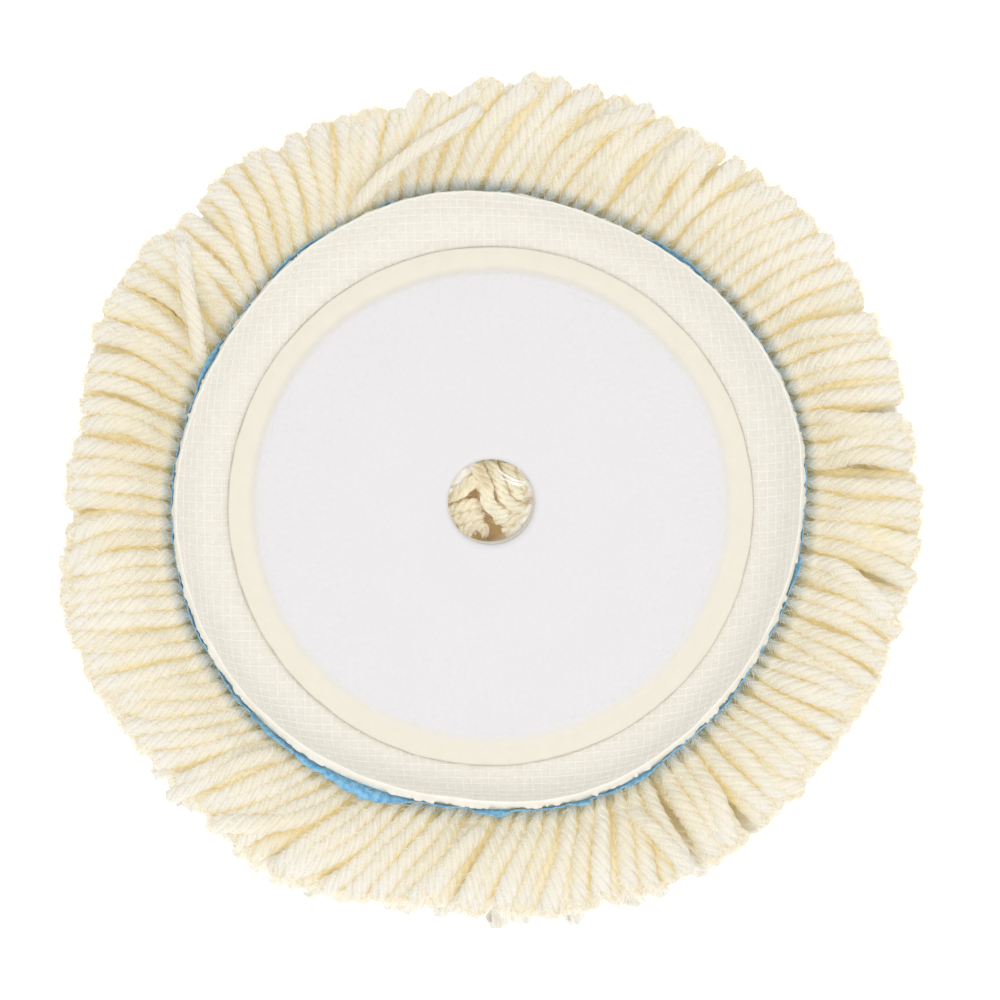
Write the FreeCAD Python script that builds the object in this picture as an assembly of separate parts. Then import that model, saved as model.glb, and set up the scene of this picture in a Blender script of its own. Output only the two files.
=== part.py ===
"""Twisted-wool polishing pad with a curved hook-and-loop back. Millimetres, +Z up, wool face on z = 0.

The pad is a stack of round layers around a 21 mm centring hole. From the machine side down: loop
fabric, hot-melt film, woven scrim, moulded dish, tuft lock coat and backing cloth. Rings of yarn
tufts stand on the cloth's outer face. The wool lies on the floor and the loop fabric faces up.
"""

import FreeCAD
import Part
import math
import os

# Overall
PILE_HEIGHT = 27.0
HOLE_RADIUS = 10.5

# Dish: a flat floor, a wall that curves up, and a short straight lip
FLAT_RADIUS = 64.0
BEND_RADIUS = 11.0
WALL_ANGLE = 52.0
LIP_LENGTH = 2.8

# Layer thicknesses, from the cloth up
CLOTH_THICKNESS = 0.8
LOCK_COAT_THICKNESS = 1.0
SHELL_THICKNESS = 2.0
SCRIM_THICKNESS = 0.4
FILM_THICKNESS = 0.3
LOOP_THICKNESS = 1.7

# How far the thin layers stop short of, or pass, the lip's end
SCRIM_SETBACK = 0.3
LOCK_COAT_SETBACK = 1.2
CLOTH_OVERHANG = 0.8

# Loop fabric and the film under it
FILM_RADIUS = 63.8
LOOP_RADIUS = 63.5
LOOP_FLAT_RADIUS = 57.5
LOOP_EDGE_THICKNESS = 0.7

# Clear film across the centring hole, bonded to the cloth's outer face
CENTRE_FILM_RADIUS = 11.5
CENTRE_FILM_THICKNESS = 0.2

# Yarn
YARN_RADIUS = 1.6

# Innermost ring: every fourth tuft leans in under the hole, and the others hang down. The leaning
# ones have a first bend's radius, the direction after it, a second bend's radius and the direction
# at the tip. Directions are degrees from straight down, turning outwards.
INNER_ROOT = 13.4
INNER_COUNT = 24
INNER_EVERY = 4
INNER_BENDS = (7.0, -78.0, 12.0, -55.0)

# Rings of tufts under the flat floor: arc length of the roots from the centre, number of tufts, tip
# radius, height of the tip's lowest point. Three rings reach the floor and carry the pad.
PILE_RINGS = [
    (INNER_ROOT, INNER_COUNT, 14.4, 0.6),
    (17.95, 26, 19.2, 0.4),
    (22.5, 32, 24.4, 0.0),
    (27.05, 38, 29.7, 0.5),
    (31.6, 46, 35.2, 0.7),
    (36.15, 52, 41.0, 0.4),
    (40.7, 58, 47.0, 0.0),
    (45.25, 64, 53.3, 0.6),
    (49.8, 72, 60.0, 0.4),
    (54.35, 78, 67.3, 0.6),
    (58.9, 84, 75.3, 0.0),
    (63.5, 92, 85.0, 0.8),
]

# Rings of tufts on the wall, which fan out to the pad's edge. They share one number of tufts and are
# staggered. Each has the arc length of its roots, then its bends as above.
FRINGE_COUNT = 128
FRINGE_RINGS = [
    (67.0, 21.0, 82.0, 80.0, 70.0),
    (70.1, 17.0, 90.0, 55.0, 74.0),
    (73.2, 12.0, 98.0, 45.0, 76.0),
    (76.3, 8.0, 108.0, 32.0, 74.0),
    (79.4, 6.0, 125.0, 18.0, 65.0),
]


def level(*layers):
    """Height of the top of a stack of layers on the cloth's outer face."""
    return PILE_HEIGHT + sum(layers)


SCRIM_TOP = level(CLOTH_THICKNESS, LOCK_COAT_THICKNESS, SHELL_THICKNESS, SCRIM_THICKNESS)
STACK = CLOTH_THICKNESS + LOCK_COAT_THICKNESS + SHELL_THICKNESS + SCRIM_THICKNESS


def vector(radius, height):
    return FreeCAD.Vector(radius, 0, height)


def wall_point(depth, turn, along=0.0):
    """Point of the dish's section, depth below the scrim's top face, after turn degrees of bend."""
    a = math.radians(turn)
    bend = BEND_RADIUS + depth
    radius = FLAT_RADIUS + bend * math.sin(a) + along * math.cos(a)
    height = SCRIM_TOP + BEND_RADIUS - bend * math.cos(a) + along * math.sin(a)
    return vector(radius, height)


def offset_edges(depth, lip):
    """Section line of one face of a layer, from the hole out to the end of the lip."""
    floor = SCRIM_TOP - depth
    start = wall_point(depth, 0)
    middle = wall_point(depth, WALL_ANGLE / 2)
    end = wall_point(depth, WALL_ANGLE)
    tip = wall_point(depth, WALL_ANGLE, lip)
    return [
        Part.LineSegment(vector(HOLE_RADIUS, floor), start).toShape(),
        Part.Arc(start, middle, end).toShape(),
        Part.LineSegment(end, tip).toShape(),
    ]


def turned(edges):
    """Solid of revolution about Z of a closed section."""
    face = Part.Face(Part.Wire(Part.__sortEdges__(edges)))
    solid = face.revolve(FreeCAD.Vector(0, 0, 0), FreeCAD.Vector(0, 0, 1), 360)
    return solid if solid.Volume > 0 else solid.reversed()


def shell_layer(top_depth, thickness, lip):
    """One curved layer of the dish, lying top_depth below the scrim's top face."""
    bottom_depth = top_depth + thickness
    upper = offset_edges(top_depth, lip)
    lower = offset_edges(bottom_depth, lip)
    inner = Part.LineSegment(
        vector(HOLE_RADIUS, SCRIM_TOP - top_depth), vector(HOLE_RADIUS, SCRIM_TOP - bottom_depth)
    ).toShape()
    outer = Part.LineSegment(
        wall_point(top_depth, WALL_ANGLE, lip), wall_point(bottom_depth, WALL_ANGLE, lip)
    ).toShape()
    return turned(upper + lower + [inner, outer])


def loop_fabric_disc():
    """Brushed loop fabric, full height in the middle and pressed thin around its edge."""
    bottom = SCRIM_TOP + FILM_THICKNESS
    top = bottom + LOOP_THICKNESS
    corners = [
        vector(HOLE_RADIUS, bottom),
        vector(LOOP_RADIUS, bottom),
        vector(LOOP_RADIUS, bottom + LOOP_EDGE_THICKNESS),
        vector(LOOP_FLAT_RADIUS, top),
        vector(HOLE_RADIUS, top),
    ]
    closed = corners + corners[:1]
    edges = [Part.LineSegment(a, b).toShape() for a, b in zip(closed, closed[1:])]
    return turned(edges)


def hot_melt_film():
    """Adhesive film that bonds the loop fabric to the scrim, with a little squeezed out."""
    outer = Part.makeCylinder(FILM_RADIUS, FILM_THICKNESS, vector(0, SCRIM_TOP))
    return outer.cut(Part.makeCylinder(HOLE_RADIUS, FILM_THICKNESS, vector(0, SCRIM_TOP)))


def centre_film():
    """Clear film that closes the bottom of the centring hole."""
    bottom = vector(0, PILE_HEIGHT - CENTRE_FILM_THICKNESS)
    return Part.makeCylinder(CENTRE_FILM_RADIUS, CENTRE_FILM_THICKNESS, bottom)


def root_of(arc_length):
    """Root point on the cloth's outer face and the direction square to it, in degrees from down."""
    if arc_length <= FLAT_RADIUS:
        return vector(arc_length, PILE_HEIGHT), 0.0
    turn = math.degrees((arc_length - FLAT_RADIUS) / (BEND_RADIUS + STACK))
    if turn <= WALL_ANGLE:
        return wall_point(STACK, turn), turn
    along = (BEND_RADIUS + STACK) * math.radians(turn - WALL_ANGLE)
    return wall_point(STACK, WALL_ANGLE, along), WALL_ANGLE


def heading(direction):
    """Unit vector at direction degrees from straight down, outwards."""
    a = math.radians(direction)
    return vector(math.sin(a), -math.cos(a))


def yarn_end(point, direction):
    """Round face of a yarn that passes through point in the given direction."""
    circle = Part.Circle(point, heading(direction), YARN_RADIUS)
    return Part.Face(Part.Wire(circle.toShape()))


def bent_yarn(point, direction, bend_radius, next_direction):
    """Yarn solid bent from one direction to the next, with the point that it ends at."""
    turn = next_direction - direction
    side = 1 if turn > 0 else -1
    across = heading(direction + 90 * side)
    centre = point + across * bend_radius
    solid = yarn_end(point, direction).revolve(centre, FreeCAD.Vector(0, -1, 0), turn)
    end = centre - heading(next_direction + 90 * side) * bend_radius
    return solid, end


def pile_tuft(arc_length, tip_radius, lowest):
    """Tuft of the flat face: it leaves the cloth squarely and bows outwards to its cut end."""
    root, direction = root_of(arc_length)
    drop = root.z - lowest
    for _ in range(20):
        lean = 2 * math.degrees(math.atan2(tip_radius - root.x, drop)) - direction
        drop = root.z - lowest - YARN_RADIUS * math.sin(math.radians(lean))
    span = math.sin(math.radians(lean)) - math.sin(math.radians(direction))
    solid, _ = bent_yarn(root, direction, drop / span, lean)
    return solid


def twice_bent_tuft(arc_length, first_bend, middle, second_bend, last):
    """Tuft with two bends: it turns away from the cloth, then droops to its cut end."""
    root, direction = root_of(arc_length)
    lower, joint = bent_yarn(root, direction, first_bend, middle)
    upper, _ = bent_yarn(joint, middle, second_bend, last)
    return lower.fuse(upper).removeSplitter()


def ring_of(tuft, count, phase=0.0, places=None):
    """Copies of one tuft spaced evenly round the pad, at all the places or at those given."""
    copies = []
    for k in range(count) if places is None else places:
        copy = tuft.copy()
        copy.rotate(FreeCAD.Vector(0, 0, 0), FreeCAD.Vector(0, 0, 1), 360 * (k + phase) / count)
        copies.append(copy)
    return Part.makeCompound(copies)


def tuft_rings():
    """The tufts that lean in under the hole, and every other ring, numbered from the centre out."""
    leaning = range(0, INNER_COUNT, INNER_EVERY)
    inner = twice_bent_tuft(INNER_ROOT, *INNER_BENDS)
    nodes = {"centre_tufts": ring_of(inner, INNER_COUNT, places=leaning)}
    for k, (root, count, tip, low) in enumerate(PILE_RINGS, start=1):
        hanging = [n for n in range(count) if k > 1 or n not in leaning]
        nodes[f"tuft_ring_{k:02d}"] = ring_of(pile_tuft(root, tip, low), count, places=hanging)
    for k, (root, *bends) in enumerate(FRINGE_RINGS, start=len(PILE_RINGS) + 1):
        tuft = twice_bent_tuft(root, *bends)
        nodes[f"tuft_ring_{k:02d}"] = ring_of(tuft, FRINGE_COUNT, phase=0.5 * (k % 2))
    return nodes


def layers():
    """The pad's flat and dished layers."""
    shell_depth = SCRIM_THICKNESS
    coat_depth = shell_depth + SHELL_THICKNESS
    cloth_depth = coat_depth + LOCK_COAT_THICKNESS
    return {
        "loop_fabric_disc": loop_fabric_disc(),
        "hot_melt_film": hot_melt_film(),
        "scrim_mesh": shell_layer(0.0, SCRIM_THICKNESS, LIP_LENGTH - SCRIM_SETBACK),
        "dish_shell": shell_layer(shell_depth, SHELL_THICKNESS, LIP_LENGTH),
        "tuft_lock_coat": shell_layer(
            coat_depth, LOCK_COAT_THICKNESS, LIP_LENGTH - LOCK_COAT_SETBACK
        ),
        "backing_cloth": shell_layer(cloth_depth, CLOTH_THICKNESS, LIP_LENGTH + CLOTH_OVERHANG),
        "centre_film": centre_film(),
    }


def main():
    os.makedirs("parts", exist_ok=True)
    nodes = {**layers(), **tuft_rings()}
    for name, shape in nodes.items():
        box = shape.optimalBoundingBox(False)
        print(
            f"{name}: {len(shape.Solids)} solids, {shape.Volume / 1000:.2f} cm3, "
            f"r {box.XMax:.2f}, z {box.ZMin:.2f} to {box.ZMax:.2f}, valid {shape.isValid()}"
        )
        shape.exportStep(f"parts/{name}.step")


main()
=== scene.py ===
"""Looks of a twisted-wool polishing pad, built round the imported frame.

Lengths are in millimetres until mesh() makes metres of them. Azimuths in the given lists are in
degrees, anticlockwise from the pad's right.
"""

import math

import bpy
import numpy as np
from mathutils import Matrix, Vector


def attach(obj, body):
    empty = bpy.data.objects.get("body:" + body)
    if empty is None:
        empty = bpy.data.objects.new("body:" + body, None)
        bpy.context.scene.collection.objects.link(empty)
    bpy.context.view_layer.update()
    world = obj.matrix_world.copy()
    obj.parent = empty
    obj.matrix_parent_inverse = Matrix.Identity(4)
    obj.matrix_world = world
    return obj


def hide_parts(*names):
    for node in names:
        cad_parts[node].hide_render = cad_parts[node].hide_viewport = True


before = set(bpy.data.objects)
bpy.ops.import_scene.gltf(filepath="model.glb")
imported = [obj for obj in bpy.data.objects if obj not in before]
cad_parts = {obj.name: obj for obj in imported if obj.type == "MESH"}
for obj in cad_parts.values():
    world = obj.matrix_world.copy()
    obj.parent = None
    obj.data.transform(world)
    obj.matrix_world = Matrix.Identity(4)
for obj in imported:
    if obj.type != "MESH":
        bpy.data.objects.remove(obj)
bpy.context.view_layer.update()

MM = 0.001
TAU = 2 * math.pi
rng = np.random.default_rng(20260)

# The dish's section: flat floor, bend, straight lip
PILE = 27.0  # height of the cloth's outer face, where the pile starts
HOLE = 10.5  # radius of the centring hole
HOLE_SHIFT = 0.9  # how far the hole stands back from the middle
DISC = 63.5  # radius of the loop disc
FLAT = 64.0  # radius of the flat floor
BEND = 11.0  # radius of the bend, on the scrim's face
WALL = math.radians(52.0)
SCRIM_TOP = 31.2  # height of the scrim's face on the floor
STACK = 4.2  # thickness of all the layers
# Depths of the layers' faces under the scrim's face
SCRIM_BACK = 0.38
SHELL_TOP, SHELL_BACK = 0.4, 2.4
COAT_TOP, COAT_BACK = 2.42, 3.4
CLOTH_TOP, CLOTH_BACK = 3.42, 4.2
LIP = 2.8
BEND_LENGTH = BEND * WALL
LIP_END = FLAT + BEND_LENGTH + LIP  # arc length of the cut edge along the scrim's face

# A strand of yarn
LEAD = 10.5  # length of yarn for one turn of its plies
PLIES = 4
TIP_DOME = 1.6  # length over which a cut end is rounded
ROOT_DOME = 0.6
HAIR = 0.042  # radius of a loose hair
FLOOR_GAP = 0.02  # nothing reaches closer to the floor

# The view: its height over the horizon, its distance and the width it takes in, in metres
ELEVATION = math.radians(81.0)
DISTANCE = 1.60
VIEW_WIDTH = 0.242
AIM = (0.00225, 0.00085, 0.0332)
SENSOR = 36


# ---------- camera
def link(name, data):
    obj = bpy.data.objects.new(name, data)
    bpy.context.scene.collection.objects.link(obj)
    return obj


def make_camera():
    camera = link("camera", bpy.data.cameras.new("camera"))
    bpy.context.scene.camera = camera
    back = Vector((0, -math.cos(ELEVATION), math.sin(ELEVATION)))
    camera.location = Vector(AIM) + back * DISTANCE
    camera.rotation_mode = "QUATERNION"
    camera.rotation_quaternion = (-back).to_track_quat("-Z", "Y")
    camera.data.sensor_width = SENSOR
    camera.data.lens = SENSOR * DISTANCE / VIEW_WIDTH
    camera.data.clip_start, camera.data.clip_end = 0.05, 20


make_camera()


# ---------- helpers
def smooth(x, low, high):
    t = np.clip((np.asarray(x, float) - low) / (high - low), 0, 1)
    return t * t * (3 - 2 * t)


def round_curve(knots):
    """A smooth function of azimuth, in degrees, through given (azimuth, value...) knots."""
    knots = np.array(sorted(knots), float)
    angles = np.concatenate([knots[:, 0] - 360, knots[:, 0], knots[:, 0] + 360])
    values = np.tile(knots[:, 1:], (3, 1))

    def at(theta):
        a = np.degrees(np.asarray(theta, float)) % 360
        i = np.clip(np.searchsorted(angles, a, side="right") - 1, 1, len(angles) - 3)
        x0, x1 = angles[i], angles[i + 1]
        t = ((a - x0) / (x1 - x0))[..., None]
        y0, y1 = values[i], values[i + 1]
        m0 = (y1 - values[i - 1]) / (x1 - angles[i - 1])[..., None] * (x1 - x0)[..., None]
        m1 = (values[i + 2] - y0) / (angles[i + 2] - x0)[..., None] * (x1 - x0)[..., None]
        out = (
            (2 * t**3 - 3 * t**2 + 1) * y0 + (t**3 - 2 * t**2 + t) * m0
            + (-2 * t**3 + 3 * t**2) * y1 + (t**3 - t**2) * m1
        )
        return out[..., 0] if out.shape[-1] == 1 else out

    return at


def waves(theta, seed, low, high, fall=1.0):
    """Sum of sines round the pad, with about unit size. low and high are the lobes round it."""
    r = np.random.default_rng(seed)
    out = np.zeros_like(np.asarray(theta, float))
    total = 0.0
    for n in range(low, high + 1):
        size = (low / n) ** fall
        out = out + size * np.sin(n * np.asarray(theta) + r.uniform(0, TAU))
        total += size * size / 2
    return out / math.sqrt(total)


def jagged(theta, seed, count):
    """Random steps round the pad with short ramps, from -1 to 1, as a hand-cut edge has."""
    r = np.random.default_rng(seed)
    spots = np.sort(r.uniform(0, TAU, count))
    values = r.uniform(-1, 1, count)
    angles = np.concatenate([spots - TAU, spots, spots + TAU])
    return np.interp(np.asarray(theta) % TAU, angles, np.tile(values, 3))


def mesh(name, points, faces, material, attributes=None):
    """Object from points in mm and faces, an array or a list of arrays of quads and triangles."""
    data = bpy.data.meshes.new(name)
    faces = [np.asarray(f, np.int32) for f in (faces if isinstance(faces, list) else [faces])]
    loops = np.concatenate([f.ravel() for f in faces])
    sizes = np.concatenate([np.full(len(f), f.shape[1], np.int32) for f in faces])
    starts = np.concatenate([[0], np.cumsum(sizes)[:-1]]).astype(np.int32)
    points = np.asarray(points, float).reshape(-1, 3)
    data.vertices.add(len(points))
    data.vertices.foreach_set("co", (points * MM).astype(np.float32).ravel())
    data.loops.add(len(loops))
    data.loops.foreach_set("vertex_index", loops)
    data.polygons.add(len(sizes))
    data.polygons.foreach_set("loop_start", starts)
    data.polygons.foreach_set("use_smooth", np.ones(len(sizes), bool))
    for key, values in (attributes or {}).items():
        values = np.asarray(values, np.float32)
        kind = "FLOAT" if values.ndim == 1 else "FLOAT_VECTOR"
        layer = data.attributes.new(key, kind, "POINT")
        layer.data.foreach_set("value" if values.ndim == 1 else "vector", values.ravel())
    data.update(calc_edges=True)
    data.validate()
    data.materials.append(material)
    obj = link(name, data)
    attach(obj, "root")
    return obj


def grid_faces(rows, columns, wrap_rows=False, wrap_columns=False):
    """Quads over a grid of points stored row by row."""
    i = np.arange(rows if wrap_rows else rows - 1)
    j = np.arange(columns if wrap_columns else columns - 1)
    i, j = np.meshgrid(i, j, indexing="ij")
    i2, j2 = (i + 1) % rows, (j + 1) % columns
    quads = [i * columns + j, i * columns + j2, i2 * columns + j2, i2 * columns + j]
    return np.stack(quads, -1).reshape(-1, 4)


def closed_ring(name, node, rows, material, attributes=None):
    """Piece in a node's place, through rows of points that go round the pad and close on the first."""
    faces = grid_faces(len(rows), len(rows[0]), wrap_rows=True, wrap_columns=True)[:, ::-1]
    obj = mesh(name, np.stack(rows), faces, material, attributes)
    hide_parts(node)
    return obj


def fan(middle, ring):
    """Triangles from a middle point to a closed ring of points, all given by their numbers."""
    return np.stack([np.full(len(ring), middle), ring, np.roll(ring, -1)], -1)


def unit(vectors):
    return vectors / np.linalg.norm(vectors, axis=-1, keepdims=True)


def run_along(points):
    """Length along lines of points, up to each point."""
    steps = np.linalg.norm(np.diff(points, axis=-2), axis=-1)
    return np.concatenate([np.zeros_like(steps[..., :1]), np.cumsum(steps, axis=-1)], axis=-1)


def even_steps(points, count):
    """Points along one line at even steps of its length."""
    run = run_along(points)
    at = np.linspace(0, run[-1], count)
    return np.stack([np.interp(at, run, column) for column in points.T], -1)


# ---------- dish shape
# How far the hand-trimmed rim stands in or out from a circle: azimuth in degrees, mm
rim_wave = round_curve(
    [(15, 0.5), (42, -0.9), (70, -1.5), (100, 0.9), (122, 0.5), (148, -0.7), (188, 0.8),
     (222, 0.4), (262, -2.0), (287, -0.7), (320, -1.8), (352, -0.9)]
)
# How high the rim waves
rim_lift = round_curve([(10, 0.2), (80, -0.3), (130, 0.3), (185, -0.1), (240, 0.4), (300, -0.2)])


def section(length, depth):
    """(radius, height) of a point at an arc length along the scrim's face and a depth below it."""
    length, depth = np.broadcast_arrays(np.asarray(length, float), np.asarray(depth, float))
    turn = np.clip((length - FLAT) / BEND, 0, WALL)
    along = np.clip(length - FLAT - BEND_LENGTH, 0, None)
    flat = np.minimum(length, FLAT)
    bend = BEND + depth
    radius = flat + bend * np.sin(turn) + along * np.cos(turn)
    height = SCRIM_TOP + BEND - bend * np.cos(turn) + along * np.sin(turn)
    return radius, height


def warp(radius, height, theta):
    """Moves a point of the dish or of the yarn's roots with the rim's own waves."""
    w = smooth(radius, 62.0, 75.5)
    return radius + rim_wave(theta) * w, height + rim_lift(theta) * w


def hole_offset(length, depth):
    """Sideways shift of the punched hole's edge, which was cut off centre and on a slant."""
    near = 1 - smooth(length, HOLE, 40.0)
    return -0.11 * depth * near, (HOLE_SHIFT + 0.36 * depth) * near


def dish(length, depth, theta):
    """Points of the dish's layers, in mm."""
    length, depth, theta = np.broadcast_arrays(length, depth, theta)
    radius, height = warp(*section(length, depth), theta)
    aside, shift = hole_offset(length, depth)
    return np.stack([radius * np.cos(theta) + aside, radius * np.sin(theta) + shift, height], -1)


# Width of the cut rim as seen from above: azimuth in degrees, mm. A narrow band is a steep cut.
rim_band = round_curve(
    [(5, 0.55), (30, 0.4), (60, 0.35), (90, 0.45), (120, 0.45), (150, 0.55), (180, 0.6), (215, 0.9),
     (240, 1.1), (270, 1.1), (300, 0.9), (330, 0.7)]
)


def cut_reach(theta):
    """How much further the dish's inner face runs than its outer face, in mm along the lip."""
    return (1.58 - rim_band(theta)) / math.cos(WALL) + 0.12 * waves(theta, 14, 9, 60, 0.3)


def dish_ring(name, node, profile, material, count=720, extra=None):
    """Closed ring through a loop of (length, depth) points. extra(theta, k) shifts them."""
    theta = np.arange(count) * TAU / count
    rows = []
    for k, (length, depth) in enumerate(profile):
        more = extra(theta, k) if extra else (0.0, 0.0)
        rows.append(dish(length + more[0], depth + more[1], theta))
    return closed_ring(name, node, rows, material)


# ---------- materials
class Nodes:
    """Short way to build a node tree round one Principled shader."""

    def __init__(self, name):
        self.material = bpy.data.materials.new(name)
        self.material.use_nodes = True
        self.tree = self.material.node_tree
        self.tree.nodes.clear()
        self.out = self.add("ShaderNodeOutputMaterial")
        self.shader = self.add("ShaderNodeBsdfPrincipled")
        self.join(self.shader.outputs[0], self.out.inputs[0])

    def add(self, kind, **values):
        node = self.tree.nodes.new(kind)
        for key, value in values.items():
            setattr(node, key, value)
        return node

    def join(self, a, b):
        self.tree.links.new(a, b)

    def set(self, **values):
        for key, value in values.items():
            self.shader.inputs[key.replace("_", " ")].default_value = value

    def noise(self, scale, detail=3.0, rough=0.5, vector=None):
        node = self.add("ShaderNodeTexNoise")
        node.inputs["Scale"].default_value = scale
        node.inputs["Detail"].default_value = detail
        node.inputs["Roughness"].default_value = rough
        self.join(vector if vector else self.position(), node.inputs["Vector"])
        return node.outputs["Fac"]

    def position(self):
        return self.add("ShaderNodeTexCoord").outputs["Object"]

    def ply(self):
        """0 in the grooves between the eight fine plies of a strand, 1 on their crests."""
        around = self.add("ShaderNodeSeparateXYZ")
        self.join(self.attribute("around").outputs["Vector"], around.inputs[0])
        angle = self.math("ARCTAN2", around.outputs[1], around.outputs[0])
        return self.math("ABSOLUTE", self.math("SINE", self.math("MULTIPLY", angle, PLIES)))

    def attribute(self, name):
        return self.add("ShaderNodeAttribute", attribute_name=name)

    def scaled(self, vector, size):
        node = self.add("ShaderNodeVectorMath", operation="MULTIPLY")
        self.join(vector, node.inputs[0])
        node.inputs[1].default_value = size
        return node.outputs[0]

    def math(self, operation, a, b=0.0, clamp=False):
        node = self.add("ShaderNodeMath", operation=operation, use_clamp=clamp)
        for socket, value in zip(node.inputs, (a, b)):
            if isinstance(value, (int, float)):
                socket.default_value = value
            else:
                self.join(value, socket)
        return node.outputs[0]

    def range(self, value, low, high, to_low=0.0, to_high=1.0):
        node = self.add("ShaderNodeMapRange", interpolation_type="SMOOTHSTEP")
        self.join(value, node.inputs[0])
        for k, number in enumerate((low, high, to_low, to_high), start=1):
            node.inputs[k].default_value = number
        return node.outputs[0]

    def blend(self, factor, a, b, kind="MIX"):
        node = self.add("ShaderNodeMix", data_type="RGBA", blend_type=kind)
        for socket, value in ((node.inputs[0], factor), (node.inputs[6], a), (node.inputs[7], b)):
            if isinstance(value, (int, float)):
                socket.default_value = value
            elif isinstance(value, tuple):
                socket.default_value = (*value, 1.0)
            else:
                self.join(value, socket)
        return node.outputs[2]

    def either(self, factor, a, b):
        """Shader that is a where the factor is 0, and b where it is 1."""
        node = self.add("ShaderNodeMixShader")
        for socket, value in zip(node.inputs, (factor, a.outputs[0], b.outputs[0])):
            self.join(value, socket)
        return node

    def colour(self, value):
        self.join(value, self.shader.inputs["Base Color"])

    def bump(self, height, distance, strength=1.0):
        node = self.add("ShaderNodeBump")
        node.inputs["Strength"].default_value = strength
        node.inputs["Distance"].default_value = distance
        self.join(height, node.inputs["Height"])
        previous = self.shader.inputs["Normal"]
        if previous.is_linked:
            self.join(previous.links[0].from_socket, node.inputs["Normal"])
        self.join(node.outputs[0], previous)


def linear(r, g, b):
    """sRGB numbers from 0 to 255 as a linear colour."""
    parts = [v / 255 for v in (r, g, b)]
    return tuple(v / 12.92 if v <= 0.04045 else ((v + 0.055) / 1.055) ** 2.4 for v in parts)


# Painted shadow of the rim: what the yarn's colour is multiplied by near its roots
ROOT_SHADE = (0.52, 0.6, 0.72)


def wool_material(name, glow=0.24, shade=(224, 207, 150), low=0.1, high=0.6, reach=0.0036, lift=0.05,
                  glint=(1.0, 0.88, 0.54), rooted=True, creams=((227, 219, 198), (232, 227, 215))):
    """Combed wool fibres laid along the plies. The gaps between strands get a painted golden shade and a
    painted glow, standing in for light that seeps through the wool.
    """
    n = Nodes(name)
    fibre = n.attribute("fibre").outputs["Vector"]
    tone = n.attribute("tone").outputs["Fac"]
    along = n.attribute("along").outputs["Fac"]
    base = n.blend(tone, linear(*creams[0]), linear(*creams[1]))
    streak = n.noise(7.0, 4.0, 0.6, n.scaled(fibre, (1.0, 1.0, 0.16)))
    base = n.blend(n.range(streak, 0.35, 0.7, 0.0, 0.3), base, linear(226, 215, 184))
    # Whiter, less yellow towards the cut ends: a painted highlight
    base = n.blend(n.range(along, 0.6, 1.0, 0.0, 0.75), base, linear(225, 224, 221))
    ply = n.ply()
    # Painted shade in the grooves between the plies
    base = n.blend(n.range(ply, 0.0, 0.55, 0.22, 0.0), base, linear(224, 211, 176))
    # Painted shade: where the AO node finds a strand hemmed in by others, its colour turns to the darker
    # golden shade colour
    gap = n.add("ShaderNodeAmbientOcclusion", samples=4)
    gap.inputs["Distance"].default_value = reach
    deep = n.range(gap.outputs["AO"], low, high, 1.0, 0.0)
    # Painted shade at the roots: there the gap colour turns olive-dark, and the whole colour is multiplied
    # by ROOT_SHADE
    root = n.range(along, 0.02, 0.2, 1.0 if rooted else 0.0, 0.0)
    dark = n.blend(root, linear(*shade), linear(176, 172, 140))
    shadow = n.range(along, 0.075, 0.2, 0.9 if rooted else 0.0, 0.0)
    n.colour(n.blend(shadow, n.blend(deep, base, dark), ROOT_SHADE, "MULTIPLY"))
    n.set(Roughness=0.9, Sheen_Weight=0.2, Sheen_Roughness=0.5, Sheen_Tint=(1.0, 0.97, 0.9, 1.0),
          Specular_IOR_Level=0.15, Emission_Color=(*glint, 1.0))
    # Painted light: the wool glows in the glint colour, strongly in the shaded gaps and less near the
    # roots, and evenly by lift elsewhere, weaker in the gaps
    lit = n.math("MULTIPLY", deep, n.range(root, 0.0, 1.0, glow, glow * 0.35))
    lit = n.math("ADD", lit, n.range(deep, 0.0, 1.0, lift, lift * 0.25))
    n.join(lit, n.shader.inputs["Emission Strength"])
    n.bump(n.noise(8.0, 5.0, 0.65, n.scaled(fibre, (1.0, 1.0, 0.13))), 0.0003, 0.7)
    n.bump(n.math("POWER", ply, 0.7), 0.0002, 0.6)
    return n.material


def fuzz_material():
    n = Nodes("wool_fuzz")
    # Painted light: the loose hairs glow faintly
    n.set(Base_Color=(*linear(250, 245, 232), 1.0), Roughness=0.8, Sheen_Weight=0.2,
          Specular_IOR_Level=0.2, Emission_Color=(1.0, 0.93, 0.78, 1.0), Emission_Strength=0.12)
    return n.material


def loop_material():
    """White brushed loops in the middle, pressed cream edge outside."""
    n = Nodes("loop_fabric")
    edge = n.attribute("edge").outputs["Fac"]
    white = n.blend(n.noise(900, 3.0), linear(216, 214, 214), linear(222, 220, 221))
    white = n.blend(n.range(n.noise(60, 3.0), 0.35, 0.65, 0, 0.3), white, linear(217, 214, 214))
    cream = n.blend(n.noise(300, 3.0), linear(219, 214, 199), linear(226, 221, 207))
    n.colour(n.blend(edge, white, cream))
    n.set(Roughness=0.9, Sheen_Weight=0.3, Sheen_Roughness=0.5, Specular_IOR_Level=0.2)
    n.bump(n.noise(1400, 4.0, 0.7), 0.00012, 0.5)
    n.bump(n.noise(350, 3.0, 0.6), 0.0002, 0.35)
    return n.material


def plain_material(name, low, high, roughness, scale=400.0, grain=0.0001, specular=0.4, sheen=0.0):
    n = Nodes(name)
    n.colour(n.blend(n.range(n.noise(scale, 4.0), 0.3, 0.7), linear(*low), linear(*high)))
    n.set(Roughness=roughness, Sheen_Weight=sheen, Specular_IOR_Level=specular)
    n.bump(n.noise(scale * 3, 4.0, 0.6), grain, 0.6)
    return n.material


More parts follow.
